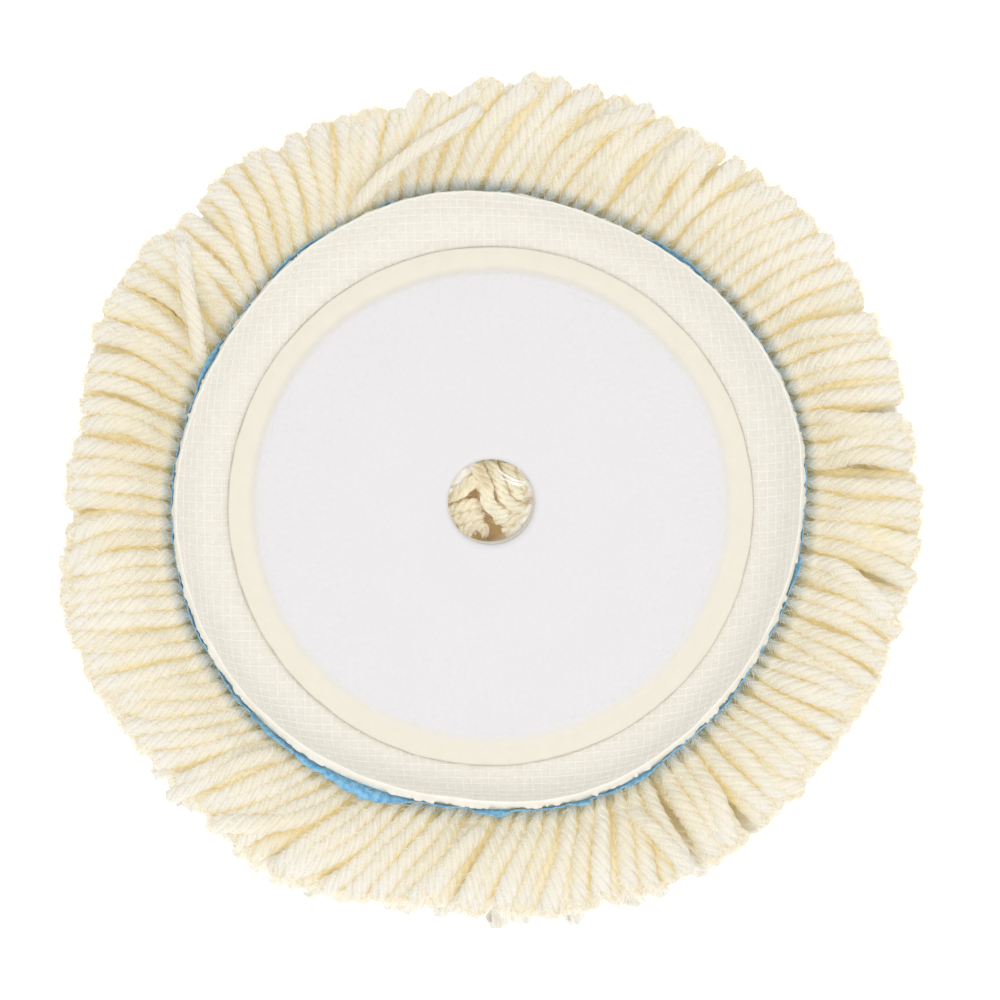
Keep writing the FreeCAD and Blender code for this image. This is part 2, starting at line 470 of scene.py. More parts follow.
def film_material():
    """Clear film: sight goes through, gloss shows where a light is mirrored, and a painted white glow
    marks the creases, the glare and the crescents by the edge.
    """
    n = Nodes("clear_film")
    n.set(Base_Color=(0.88, 0.88, 0.88, 1), Roughness=0.6, Emission_Color=(0.92, 0.95, 1.0, 1),
          Emission_Strength=0.4)  # painted highlight along the creases and at the glare
    clear = n.add("ShaderNodeBsdfTransparent")
    clear.inputs[0].default_value = (0.985, 0.985, 0.98, 1)
    gloss = n.add("ShaderNodeBsdfGlossy")
    gloss.inputs["Color"].default_value = (1, 1, 1, 1)
    gloss.inputs["Roughness"].default_value = 0.07
    crease_glint = n.attribute("crease_glint").outputs["Fac"]
    fresnel = n.add("ShaderNodeFresnel")
    fresnel.inputs["IOR"].default_value = 1.5
    film = n.either(n.math("MULTIPLY", crease_glint, 0.75, clamp=True), clear, n.shader)
    film = n.either(n.math("MULTIPLY", fresnel.outputs[0], 0.6, clamp=True), film, gloss)
    n.join(film.outputs[0], n.out.inputs[0])
    return n.material


WOOL = wool_material("wool_yarn")
# Painted shade: the rings below the top one, seen through its gaps, get a more golden cream and gap
# colour, with a faint painted glow
UNDER = wool_material("wool_below_shaded", 0.24, (222, 203, 142), lift=0.07,
                      creams=((226, 212, 175), (231, 220, 188)))
# Painted shade: the bed of tufts deep under the hole gets a golden brown wool and gap colour, with a faint
# painted golden glow
CORE = wool_material("wool_core_shaded", 0.13, (170, 122, 44), 0.1, 0.9, 0.006, 0.0, (1.0, 0.74, 0.3), False,
                     ((196, 158, 88), (206, 168, 98)))
# Painted light: the tufts right under the hole glow evenly, as if lit through it, with a painted golden
# shade in their gaps
LIT = wool_material("wool_under_hole_lit", 0.04, (213, 185, 108), 0.1, 0.72, 0.0028, 0.41, (1.0, 0.94, 0.7),
                    False)
FUZZ = fuzz_material()
LOOP = loop_material()
SCRIM = plain_material("scrim_coat", (220, 216, 205), (225, 221, 211), 0.5, 500, 0.00008, 0.4)
THREAD = plain_material("scrim_thread", (226, 222, 212), (233, 230, 221), 0.55, 900, 0.00005, 0.4)
RIM = plain_material("rim_foam", (232, 228, 217), (237, 234, 225), 0.5, 250, 0.00008, 0.45)
COAT = plain_material("latex_coat", (222, 212, 184), (236, 228, 203), 0.6, 300, 0.0001)
# Partly painted shade: darker than the layers round it, so that its thin rim past the disc reads as a
# shadow line
MELT = plain_material("hot_melt", (204, 198, 182), (218, 212, 196), 0.5, 300, 0.00005)
CLOTH = plain_material("blue_cloth", (96, 158, 201), (144, 197, 225), 0.85, 900, 0.00015, 0.2, 0.3)
FILM = film_material()


# ---------- layers
FLOOR_STEPS = [HOLE, 30.0, 50.0, 60.0]  # arc lengths of a layer's points on the flat floor


def layer_profile(top, bottom, end, edge=0.25):
    """Loop of (length, depth) from the hole out along the top, round the edge and back."""
    out = FLOOR_STEPS + list(np.linspace(FLAT, end - edge, 16))
    rows = [(x, top) for x in out]
    rows += [(end - edge * 0.3, top + edge * 0.15), (end, top + edge * 0.6)]
    rows += [(end, bottom - edge * 0.6), (end - edge * 0.3, bottom - edge * 0.15)]
    rows += [(x, bottom) for x in reversed(out)]
    return rows


def make_shell():
    """Moulded dish. Its cut edge is the smooth rim band, with a nicked lower edge."""
    end = LIP_END
    inner = FLOOR_STEPS + list(np.linspace(FLAT, end - 1.1, 14))
    rows = [(x, SHELL_TOP) for x in inner]
    # length, depth, share of the nicks
    rim = [
        (end - 0.85, 0.28, 0), (end - 0.55, 0.0, 0), (end - 0.28, -0.12, 0), (end - 0.06, -0.02, 0),
        (end + 0.08, 0.30, 0), (end + 0.13, 0.8, 0), (end + 0.14, 1.3, 0.1), (end + 0.12, 1.8, 0.3),
        (end + 0.05, 2.2, 0.8), (end - 0.08, 2.42, 1.0), (end - 0.35, 2.46, 0.7),
    ]
    rows += [(a, b) for a, b, _ in rim]
    rows += [(x, SHELL_BACK) for x in reversed(inner)]
    share = np.zeros(len(rows))
    share[len(inner):len(inner) + len(rim)] = [c for _, _, c in rim]

    def nicks(theta, k):
        length, depth = rows[k]
        upper = float(np.clip(1 - depth / SHELL_BACK, 0, 1)) * float(smooth(length, end - 2.8, end - 0.5))
        nick = 0.34 * jagged(theta, 12, 300) + 0.2 * jagged(theta, 13, 800)
        return upper * cut_reach(theta) + 1.3 * share[k] * nick, 0.45 * share[k] * nick

    dish_ring("dish_rim", "dish_shell", rows, RIM, 1800, nicks)


def make_scrim():
    """Resin-coated scrim sheet that lines the dish. Its threads are a piece of their own."""
    end = LIP_END - 0.3
    rows = layer_profile(0.0, SCRIM_BACK, end, 0.15)

    def follow(theta, k):
        length = rows[k][0]
        return float(smooth(length, end - 2.4, end - 0.1)) * cut_reach(theta), 0.0

    sheet = dish_ring("scrim_sheet", "scrim_mesh", rows, SCRIM, 900, follow)


def azimuth(across, along, direction):
    """Azimuth of a point of a thread, which runs along x in direction 0 and along y in direction 1."""
    return np.arctan2(along, across) if direction else np.arctan2(across, along)


def make_threads():
    """Warp and weft of the scrim, standing up from its resin between the disc and the rim."""
    pitch, step, slant, reach_of_lines = 2.1, 0.4, math.radians(1.5), 38
    inner, outer = 62.6, LIP_END - 0.35
    # a thread's section: sideways, depth
    shape = np.array([(-0.25, 0.05), (-0.16, -0.04), (0.0, -0.08), (0.16, -0.04), (0.25, 0.05)])
    cap = np.array([[0, 1, 2], [0, 2, 3], [0, 3, 4]])
    points, quads, caps, total = [], [], [], 0
    span = np.arange(-outer - 2, outer + 2, step)
    for direction in (0, 1):
        for k in range(-reach_of_lines, reach_of_lines + 1):
            bow = rng.uniform(-0.3, 0.3, 3)
            size = rng.uniform(0.8, 1.2)
            across = k * pitch + bow[2] * 0.5 + bow[0] * np.sin(span / 17 + bow[1] * 9)
            across = across + 0.05 * np.sin(span / 2.1 + k)
            lift = 0.035 * np.cos(math.pi * (span / pitch + k + direction))
            length, theta = np.hypot(across, span), azimuth(across, span, direction)
            shown = (length > inner) & (length < outer + cut_reach(theta))
            ends = np.flatnonzero(np.diff(np.concatenate([[0], shown.astype(int), [0]])))
            for low, high in ends.reshape(-1, 2):
                if high - low < 4:
                    continue
                rows = []
                for side, depth in shape:
                    a, t = across[low:high] + side * size, span[low:high]
                    depths = depth * size - lift[low:high] * (depth < 0)
                    rows.append(dish(np.hypot(a, t), depths, azimuth(a, t, direction) + slant))
                count, n = high - low, len(shape)
                points.append(np.stack(rows, 1).reshape(-1, 3))
                quads.append(grid_faces(count, n, wrap_columns=True) + total)
                caps += [cap[:, ::-1] + total, cap + (count - 1) * n + total]
                total += count * n
    mesh("scrim_threads", np.concatenate(points), [np.concatenate(quads), np.concatenate(caps)],
         THREAD)


# How much of the blue cloth shows past the rim: azimuth in degrees, mm
CLOTH_SHOWN = [
    (0, 0.4), (6, 0.3), (8, 0.0), (12, 0.4), (16, 0.0), (23, 0.4), (27, 0.2), (39, 0.4), (42, 0.0),
    (48, 0.6), (53, 0.8), (58, 0.95), (62, 0.1), (84, 0.0), (87, 0.3), (93, 0.2), (97, 0.0),
    (106, 0.0), (109, 0.45), (112, 0.05), (119, 0.3), (125, 0.6), (132, 0.75), (135, 0.15),
    (143, 0.5), (149, 0.45), (151, 0.9), (157, 0.85), (159, 0.35), (164, 0.4), (166, 0.1),
    (176, 0.5), (184, 0.3), (196, 0.4), (206, 0.6), (210, 0.15), (217, 0.8), (225, 0.9), (227, 1.3),
    (232, 0.9), (235, 1.6), (241, 2.0), (247, 2.6), (250, 2.3), (253, 1.5), (256, 0.4), (261, 0.7),
    (265, 0.25), (268, 1.3), (272, 1.4), (274, 0.5), (284, 0.6), (287, 1.1), (290, 0.5), (296, 1.0),
    (300, 1.0), (302, 0.5), (311, 0.3), (319, 0.7), (325, 0.4), (327, 0.0), (333, 0.0), (340, 0.6),
    (343, 0.25), (347, 1.1), (349, 1.0), (351, 0.2), (360, 0.4),
]


def cloth_shown(theta):
    angles, widths = np.array(CLOTH_SHOWN).T
    shown = np.interp(np.degrees(theta) % 360, angles, widths)
    return 1.4 * shown - 0.02 + 0.34 * jagged(theta, 31, 170) + 0.2 * jagged(theta, 32, 600)


def make_cloth():
    """Blue backing cloth. Its frayed edge hugs the rim, and stands out flat at the front left."""
    end, count = LIP_END - 0.1, 2000
    last = FLAT + BEND_LENGTH
    out = [HOLE + 0.6] + FLOOR_STEPS[1:] + list(np.linspace(FLAT, last, 5))
    out += list(np.linspace(last, end - 0.05, 15))[1:]
    rows = [(x, CLOTH_TOP) for x in out] + [(end, (CLOTH_TOP + CLOTH_BACK) / 2)]
    rows += [(x, CLOTH_BACK) for x in reversed(out)]
    theta = np.arange(count) * TAU / count
    flare = cloth_shown(theta) - 0.35
    crumple = 0.16 * jagged(theta, 33, 420) + 0.1 * waves(theta, 34, 12, 70, 0.4)
    droop = np.minimum(flare, 0.5) * 0.5 - 0.12 * flare + crumple * smooth(flare, -0.3, 0.4)
    rings = []
    for length, depth in rows:
        near = float(smooth(np.clip((length - last) / (end - last), 0, 1), 0.35, 1.0))
        hug = -(0.9 + 0.5 * (depth - CLOTH_TOP) / (CLOTH_BACK - CLOTH_TOP)) * near
        points = dish(length, depth + hug, theta)
        points[:, 0] += near * flare * np.cos(theta)
        points[:, 1] += near * flare * np.sin(theta)
        points[:, 2] += near * droop + 1.4 * near * (1 - near) * smooth(flare, 0.4, 1.6)
        rings.append(points)
    obj = closed_ring("backing_cloth_sheet", "backing_cloth", rings, CLOTH)


def make_lock_coat():
    rows = layer_profile(COAT_TOP, COAT_BACK, LIP_END - 1.2, 0.3)
    dish_ring("lock_coat", "tuft_lock_coat", rows, COAT)


def make_melt():
    """Hot-melt film under the disc, cut with the same punch. Its rim shows 0.3 mm past the disc, darker
    than the layers round it: partly the glue's own colour, partly a painted shadow line.
    """
    hole, edge, top = HOLE + 0.25, 63.8, -0.3
    rows = [(hole, top), (30.0, top), (edge - 0.05, top), (edge, 0.0), (30.0, 0.0), (hole, 0.0)]
    dish_ring("melt_film", "hot_melt_film", rows, MELT)


def ring_row(radii, theta, height, aside=0.0, shift=0.0):
    """Points round the pad at a height, moved aside and back."""
    return np.stack(np.broadcast_arrays(radii * np.cos(theta) + aside, radii * np.sin(theta) + shift,
                                        height), -1)


def make_loop_disc():
    """Loop fabric disc: brushed nap with an uneven end, then the edge pressed flat."""
    count = 720
    theta = np.arange(count) * TAU / count
    bottom, pressed_top, nap_height = 31.5, 32.32, 0.86
    radii = np.concatenate([np.arange(HOLE, 55.0, 0.9), np.arange(55.0, 60.5, 0.28),
                            np.arange(60.5, 63.2, 0.6)])
    wobble = 0.12 * waves(theta, 41, 3, 12, 0.5) + 0.12 * jagged(theta, 42, 500)
    rows, edges = [], []
    for r in radii:
        where = r - wobble
        tall = 1 - smooth(where, 56.3, 58.9)
        nap = 0.045 * rng.standard_normal(count) * tall * float(smooth(r, 24, 50))
        dip = 0.08 * np.cos(np.pi * np.clip((where - 61) / 2.4, -1, 1)) * (1 - tall)
        z = pressed_top + nap_height * tall + nap + dip
        z = z - 0.5 * (1 - smooth(r, HOLE, HOLE + 0.9)) ** 2
        rows.append(ring_row(r, theta, z, *hole_offset(r, SCRIM_TOP - z)))
        edges.append(smooth(where, 55.9, 59.2))
    rim_in = 0.06 * waves(theta, 43, 5, 50, 0.3)
    for r, z in ((DISC - 0.2, 32.30), (DISC - 0.04, 32.18), (DISC, 31.95), (DISC, bottom)):
        rows.append(ring_row(r + rim_in, theta, z))
        edges.append(np.ones(count))
    rows.append(ring_row(HOLE, theta, bottom, *hole_offset(HOLE, SCRIM_TOP - bottom)))
    edges.append(np.zeros(count))
    obj = closed_ring("loop_disc", "loop_fabric_disc", rows, LOOP,
                      {"edge": np.stack(edges).ravel()})


# Middle of the clear film: x, y
FILM_MIDDLE = (-0.46, HOLE_SHIFT + 1.5)


def make_centre_film():
    """Clear film under the hole, wrinkled, with a few sharp creases. The creases, a glare at its edge and
    crescents at its right edge get a painted highlight.
    """
    rings, count = 44, 144
    theta = np.arange(count) * TAU / count
    r, t = np.meshgrid(np.linspace(0.4, 11.5, rings), theta, indexing="ij")
    x, y = r * np.cos(t), r * np.sin(t)
    z = 0.25 * np.sin(x * 0.55 + 1.1) * np.cos(y * 0.43 - 0.4) * (1 - smooth(r, 8.5, 10.8))
    z += 0.45 * np.exp(-((x - 7.0) ** 2 + (y - 5.0) ** 2) / 22) * (1 - smooth(r, 9.6, 10.8))

    def ridge(px, py, qx, qy, bend, width):
        """1 along a bowed line from p to q, and 0 away from it."""
        dx, dy = qx - px, qy - py
        n = math.hypot(dx, dy)
        u = ((x - px) * dx + (y - py) * dy) / n**2
        v = ((x - px) * -dy + (y - py) * dx) / n - bend * 4 * u * (1 - u)
        return np.exp(-((v / width) ** 2)) * smooth(u, -0.05, 0.12) * (1 - smooth(u, 0.72, 1.02))

    def lobe(middle, spread):
        """1 at an azimuth in degrees, and less on either side."""
        return np.exp(-(((np.degrees(np.arctan2(y, x)) % 360 - middle) / spread) ** 2))

    crease_glint = ridge(1.8, 7.3, 9.8, 3.5, -0.75, 0.17) + ridge(2.0, 5.6, 9.9, 3.1, -0.7, 0.15) * 0.8
    crease_glint += 0.7 * ridge(-10.6, 1.6, -8.8, 2.0, 0, 0.22)
    # Painted reflections: a glare at the upper left and whitish crescents near the right edge, shown by
    # the film's white glow
    glare = 0.5 * lobe(139, 25) * smooth(r, 7.0, 8.6)
    edge_sheen = 0.35 * smooth(r, 9.3, 10.1) * (lobe(20, 30) + lobe(330, 35))
    z += 0.3 * crease_glint * (1 - smooth(r, 9.8, 11.0))
    x, y = x + FILM_MIDDLE[0], y + FILM_MIDDLE[1]
    free = r < 10.4  # the rest is held between the disc and the dish
    rise = np.maximum(z, -0.02) * free
    top = np.stack([x, y, np.where(free, PILE + 0.02 + rise, PILE - 0.005)], -1)
    low = np.stack([x, y, PILE - 0.18 + rise], -1)
    middles = [[*FILM_MIDDLE, PILE + 0.1], [*FILM_MIDDLE, PILE - 0.1]]
    up = grid_faces(rings, count, wrap_columns=True)[:, ::-1]
    n = rings * count
    down = up[:, ::-1] + n
    k = np.arange(count)
    k2 = (k + 1) % count
    edge = (rings - 1) * count
    side = np.stack([edge + k, edge + n + k, edge + n + k2, edge + k2], -1)
    fans = np.concatenate([fan(2 * n, k), fan(2 * n + 1, n + k)[:, [0, 2, 1]]])
    # Where the film gets its painted highlight
    shown = (crease_glint + glare + edge_sheen).ravel()
    obj = mesh("hole_film", np.concatenate([top.reshape(-1, 3), low.reshape(-1, 3), middles]),
               [np.concatenate([up, down, side]), fans], FILM,
               {"crease_glint": np.clip(np.concatenate([shown, shown, [0, 0]]), 0, 1)})
    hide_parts("centre_film")


# ---------- yarn
def build_strands(data, around=16, depth=0.19, twist=1.0):
    """Twisted strands from their paths, radii, sideways directions, tones and first turns.

    Gives their points (strand, step, point round it, xyz), the share and length along each, and the
    tones. depth is the depth of the grooves between plies, as a share of the radius.
    """
    paths, radii, across, tones, start = data
    tangent = unit(np.gradient(paths, axis=1))
    length = run_along(paths)
    share = length / length[:, -1:]
    to_end = length[:, -1:] - length
    b = unit(across[:, None, :] - (across[:, None, :] * tangent).sum(2, keepdims=True) * tangent)
    c = np.cross(tangent, b)
    # the plies untwist and open a little towards the cut end
    turns = (length - 0.12 * length * share) / LEAD * twist
    opened = depth + 0.15 * (1 - smooth(to_end, 0.0, 4.5))
    angle = np.arange(around) * TAU / around
    groove = (np.abs((angle * PLIES / TAU) % 1 - 0.5) * 2) ** 2.2
    rounded = np.sqrt(np.clip(1 - (1 - np.clip(to_end / TIP_DOME, 0, 1)) ** 2.4, 0, 1))
    rounded = rounded * np.sqrt(np.clip(length / ROOT_DOME, 0.05, 1))
    size = (radii * rounded)[:, :, None] * (1 - opened[:, :, None] * groove)
    a = angle + (start[:, None] - turns * TAU)[:, :, None]
    ring = np.cos(a)[..., None] * b[:, :, None, :] + np.sin(a)[..., None] * c[:, :, None, :]
    points = paths[:, :, None, :] + size[..., None] * ring
    points[..., 2] = np.maximum(points[..., 2], FLOOR_GAP)
    return points, share, length, tones


def yarn_piece(name, parts, material, node=None):
    """One mesh of many strands, from a list of what build_strands() gives, in a node's place."""
    points, quads, tris, fibre, tone, along, round_it = [], [], [], [], [], [], []
    base = 0
    for rings, share, length, tones in parts:
        n, m, k, _ = rings.shape
        body = m * k
        per = body + 2  # a strand's points: its rings, then the middles of its two ends
        middles = np.stack([rings[:, 0].mean(1), rings[:, -1].mean(1)], 1)
        points.append(np.concatenate([rings.reshape(n, body, 3), middles], axis=1).reshape(-1, 3))
        j = np.arange(k)
        fans = np.concatenate([fan(body, j)[:, [0, 2, 1]], fan(body + 1, body - k + j)])
        shift = (base + np.arange(n) * per)[:, None, None]
        quads.append((grid_faces(m, k, wrap_columns=True) + shift).reshape(-1, 4))
        tris.append((fans + shift).reshape(-1, 3))
        base += n * per
        # where a point lies on its strand, for the materials
        turned = np.zeros((n, per, 3))
        turned[:, :body, :2] = np.tile(np.stack([np.cos(j * TAU / k), np.sin(j * TAU / k)], -1), (m, 1))
        laid = turned.copy()
        laid[:, :, 0] += rng.uniform(0, 40, n)[:, None]
        laid[:, :body, 2] = np.repeat(length * 0.5, k, axis=1)
        turned[:, body:, 0] = 1
        gone = np.zeros((n, per))
        gone[:, :body] = np.repeat(share, k, axis=1)
        gone[:, -1] = 1
        fibre.append(laid.reshape(-1, 3))
        round_it.append(turned.reshape(-1, 3))
        tone.append(np.repeat(tones, per))
        along.append(gone.ravel())
    lists = {"fibre": fibre, "tone": tone, "along": along, "around": round_it}
    obj = mesh(name, np.concatenate(points), [np.concatenate(quads), np.concatenate(tris)], material,
               {key: np.concatenate(values) for key, values in lists.items()})
    if node:
        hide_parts(node)


# How the fringe lies, seen from above: azimuth, then the angle from straight out at the roots and at
# the tips. Minus is clockwise.
lean = round_curve(
    [(0, -6, -12), (20, -2, -18), (38, 4, -20), (55, -6, -24), (75, -18, -30), (92, -24, -36),
     (108, -14, -40), (124, -34, -8), (140, -26, 6), (158, -18, 12), (175, -14, 12),
     (190, -10, 2), (205, -8, -18), (222, -18, -32), (240, -24, -34), (258, -26, -36),
     (275, -26, -34), (290, -20, -26), (303, -6, 4), (318, 2, 4), (335, 0, -10), (348, -2, -16)]
)
# How far the fringe reaches: azimuth, radius
reach = round_curve(
    [(0, 105.0), (14, 103.8), (30, 105.0), (55, 105.2), (68, 104.2), (80, 105.4), (90, 107.0),
     (100, 105.2), (110, 102.2), (121, 102.8), (131, 105.0), (141, 104.4), (151, 107.4), (168, 102.8),
     (179, 102.8), (195, 106.8), (208, 106.4), (222, 104.2), (231, 103.8), (240, 103.0), (251, 105.6),
     (261, 102.2), (270, 99.4), (279, 100.4), (290, 101.8), (300, 103.6), (318, 102.4), (332, 103.6),
     (345, 103.6)]
)

# The rings on the wall: arc length of the roots, first bend's radius, direction after it, second
# bend's radius, direction at the tip. Directions are degrees from straight down.
FRINGE = [
    (67.0, 21.0, 82.0, 80.0, 70.0),
    (70.1, 17.0, 90.0, 55.0, 74.0),
    (73.2, 12.0, 98.0, 45.0, 76.0),
    (76.3, 8.0, 108.0, 32.0, 74.0),
    (79.4, 6.0, 125.0, 18.0, 65.0),
]
# The rings under the floor: arc length of the roots, tufts all round, tip's radius, its height
PILE_ROWS = [
    (13.4, 24, 14.4, 0.6), (17.95, 26, 19.2, 0.4), (22.5, 32, 24.4, 0.0), (27.05, 38, 29.7, 0.5),
    (31.6, 46, 35.2, 0.7), (36.15, 52, 41.0, 0.4), (40.7, 58, 47.0, 0.0), (45.25, 64, 53.3, 0.6),
    (49.8, 72, 60.0, 0.4), (54.35, 78, 67.3, 0.6), (58.9, 84, 75.3, 0.0), (63.5, 92, 85.0, 0.8),
]
FRINGE_COUNT = 128
# How far each of the five rings is raised at its tips, and how much that varies
RING_LIFT = (0.5, 1.6, 2.6, 3.5, 0.0)
RING_SPREAD = (1.2, 1.4, 1.3, 0.6, 0.6)


def root_of(arc):
    """(radius, height, direction) of a root on the cloth's outer face."""
    turn = (arc - FLAT) / (BEND + STACK)
    if turn <= 0:
        return arc, PILE, 0.0
    along = 0.0
    if turn > WALL:
        along, turn = (turn - WALL) * (BEND + STACK), WALL
    radius = FLAT + (BEND + STACK) * math.sin(turn) + along * math.cos(turn)
    height = SCRIM_TOP + BEND - (BEND + STACK) * math.cos(turn) + along * math.sin(turn)
    return radius, height, turn


def arc_path(point, direction, bend, new_direction, count):
    """Points along one bend in the section plane, without the first."""
    sign = 1 if new_direction > direction else -1
    a = np.linspace(direction, new_direction, count + 1)
    cx = point[0] + bend * math.sin(direction + sign * math.pi / 2)
    cz = point[1] - bend * math.cos(direction + sign * math.pi / 2)
    x = cx - bend * np.sin(a + sign * math.pi / 2)
    z = cz + bend * np.cos(a + sign * math.pi / 2)
    return x[1:], z[1:]


def section_path(root, bends, count):
    """Radius and height of a tuft's line at even steps of its length."""
    radius, height, direction = root
    xs, zs = [radius], [height]
    for bend, new_direction in bends:
        x, z = arc_path((xs[-1], zs[-1]), direction, bend, new_direction, 40)
        xs += list(x)
        zs += list(z)
        direction = new_direction
    return even_steps(np.stack([xs, zs], -1), count).T


# Where the last ring's roots start, hidden between the cloth and the dish
HIDDEN_ROOT = [(74.4, 0, 33.4), (76.9, 0, 33.2)]


def fringe_parts(k, phase, steps, stray):
    """Strands of the k-th ring on the wall, leaning and reaching as seen round the pad."""
    count, last = FRINGE_COUNT, k == len(FRINGE) - 1
    r = np.random.default_rng(500 + k)
    arc, bend1, dir1, bend2, dir2 = FRINGE[k]
    bends = [(bend1, math.radians(dir1)), (bend2, math.radians(dir2))]
    radius, height = section_path(root_of(arc), bends, steps)
    if last:
        seen = list(zip(radius[4:], radius[4:] * 0, height[4:]))
        radius, _, height = resample(HIDDEN_ROOT + seen, steps).T
    theta0 = (np.arange(count) + phase) / count * TAU
    theta0 = theta0 + r.normal(0, 0.005, count)
    share = np.linspace(0, 1, steps)
    # the lean, with a little of its own in each strand and a few that cross their neighbours
    own = r.normal(0, 3.4, count)
    cross = (r.random(count) < stray) * r.choice([-1, 1], count) * r.uniform(10, 20, count)
    at_root, at_tip = lean(theta0).T[:, :, None]
    angle = np.radians(at_root * (1 - share) + at_tip * share
                       + (own + cross)[:, None] * smooth(share, 0.1, 0.7))
    # the run beyond the rim is stretched so that the tips reach the outline
    want = reach(theta0) - 1.2 + r.normal(0, 0.6, count) - 1.4 * (r.random(count) < 0.15)
    stretch = (want - radius[0]) / (radius[-1] - radius[0])
    radii = radius[0] + (radius - radius[0]) * stretch[:, None]
    mid = (radii[:, 1:] + radii[:, :-1]) / 2
    swing = np.tan((angle[:, 1:] + angle[:, :-1]) / 2) * np.diff(radii, axis=1) / mid
    theta = theta0[:, None] + np.concatenate([np.zeros((count, 1)), np.cumsum(swing, axis=1)], axis=1)
    lift = RING_LIFT[k] + r.normal(0, RING_SPREAD[k], count) + np.abs(cross) * 0.09
    lift = lift + 0.6 * waves(theta0, 60 + k, 3, 14, 0.5)
    heights = height + lift[:, None] * smooth(share, 0.15, 0.8)
    heights = heights - (r.random(count) < 0.15)[:, None] * 1.5 * smooth(share, 0.6, 1.0)
    # small bends of each strand, and clumps of strands
    bend_phase = r.uniform(0, TAU, (count, 2))
    wiggle = 0.45 * np.sin(share * 7 + bend_phase[:, :1]) * smooth(share, 0.1, 0.5)
    rise = 0.35 * np.sin(share * 8 + bend_phase[:, 1:]) * smooth(share, 0.1, 0.5)
    clump = 0.55 * waves(theta0, 600 + k // 2, 17, 52, 0.2)[:, None]
    clump = clump * smooth(share, 0.15, 0.6) * (1 - 0.5 * smooth(share, 0.7, 1.0))
    theta = theta + (wiggle + clump) / radii
    heights = heights + rise
    # near the rim the strands follow its waves
    moved, raised = warp(radii, heights, theta)
    near = 1 - smooth(radii, 78, 96)
    radii = radii + (moved - radii) * near
    heights = heights + (raised - heights) * near
    paths = np.stack([radii * np.cos(theta), radii * np.sin(theta), heights], -1)
    size = 1.98 + 0.56 * smooth(share, 0.15, 0.75) + 0.2 * smooth(share, 0.8, 1.0)
    sizes = size * r.uniform(0.91, 1.1, count)[:, None]
    sizes = sizes * (1 + 0.04 * np.sin(share * 19 + bend_phase[:, :1] * 3))
    if last:
        # the strands swell once they are clear of the cloth's edge
        clear = cloth_shown(theta0)[:, None] * 0.9
        sizes = sizes * (0.62 + 0.38 * smooth(radii - clear, 76.6, 78.8))
    tones = np.clip(0.55 + 0.3 * r.standard_normal(count) + 0.12 * waves(theta0, 70 + k, 2, 9), 0, 1)
    return paths, sizes, sideways(theta0), tones, r.uniform(0, TAU, count)


def sideways(theta):
    return np.stack([-np.sin(theta), np.cos(theta), np.zeros(len(theta))], -1)


def pile_parts(k, steps=26):
    r = np.random.default_rng(800 + k)
    arc, count, tip_radius, low = PILE_ROWS[k]
    keep = [n for n in range(count) if k > 0 or n % 4]
    root = root_of(arc)
    drop = root[1] - low - 0.4
    way = 2 * math.atan2(tip_radius - root[0], drop)
    radius, height = section_path(root, [(drop / math.sin(way), way)], steps)
    theta0 = np.array(keep) / count * TAU + r.normal(0, 0.012, len(keep)) * 13 / arc
    n = len(keep)
    share = np.linspace(0, 1, steps)
    fade = smooth(share, 0.1, 0.9)
    radii = radius[None, :] + r.normal(0, 0.6, n)[:, None] * fade
    theta = theta0[:, None] + (r.normal(0, 0.7, n)[:, None] * fade
                               + 0.4 * np.sin(share * 6 + r.uniform(0, TAU, n)[:, None]) * fade) / radii
    heights = np.tile(height, (n, 1)) + r.uniform(0.0, 0.8, n)[:, None] * fade
    paths = np.stack([radii * np.cos(theta), radii * np.sin(theta), heights], -1)
    paths[:, :, 2] = np.maximum(paths[:, :, 2], 0.15)
    sizes = (1.75 + 0.75 * smooth(share, 0.1, 1.0))[None, :] * r.uniform(0.94, 1.06, n)[:, None]
    tones = np.clip(0.5 + 0.3 * r.standard_normal(n), 0, 1)
    return paths, sizes, sideways(theta0), tones, r.uniform(0, TAU, n)


def resample(points, count):
    """A smooth line through given points, at even steps."""
    line = even_steps(np.asarray(points, float), 200)
    for _ in range(60):
        line[1:-1] = (line[:-2] + 2 * line[1:-1] + line[2:]) / 4
    return even_steps(line, count)


def hand_strands(lines, sizes, steps, seed):
    r = np.random.default_rng(seed)
    paths = np.stack([resample(line, steps) for line in lines])
    n = len(lines)
    widths = np.tile(np.asarray(sizes, float)[:, None], (1, steps))
    return (paths, widths, np.tile((0.0, 0.0, 1.0), (n, 1)),
            np.clip(r.normal(0.6, 0.2, n), 0, 1), r.uniform(0, TAU, n))


# Strands that lie across the others on the top: x, y, height
STRAY = [
    [(-70.0, 34.0, 32.4), (-70.9, 38.5, 37.8), (-71.5, 43.0, 40.0), (-73.2, 50.0, 41.2),
     (-74.4, 59.0, 40.6), (-74.8, 63.5, 39.8)],
    [(-34.0, 71.2, 32.4), (-30.5, 75.0, 38.0), (-26.0, 79.5, 40.2), (-17.0, 86.5, 41.0),
     (-7.5, 92.5, 40.2), (-2.0, 96.5, 39.2)],
    [(33.0, -74.0, 31.8), (35.6, -77.0, 36.6), (38.5, -79.5, 39.4), (44.0, -85.5, 40.2),
     (48.5, -90.5, 39.4)],
    [(-50.5, -60.5, 31.8), (-54.0, -62.0, 37.4), (-60.0, -64.0, 40.0), (-69.0, -69.0, 40.4),
     (-78.0, -72.5, 38.8)],
]


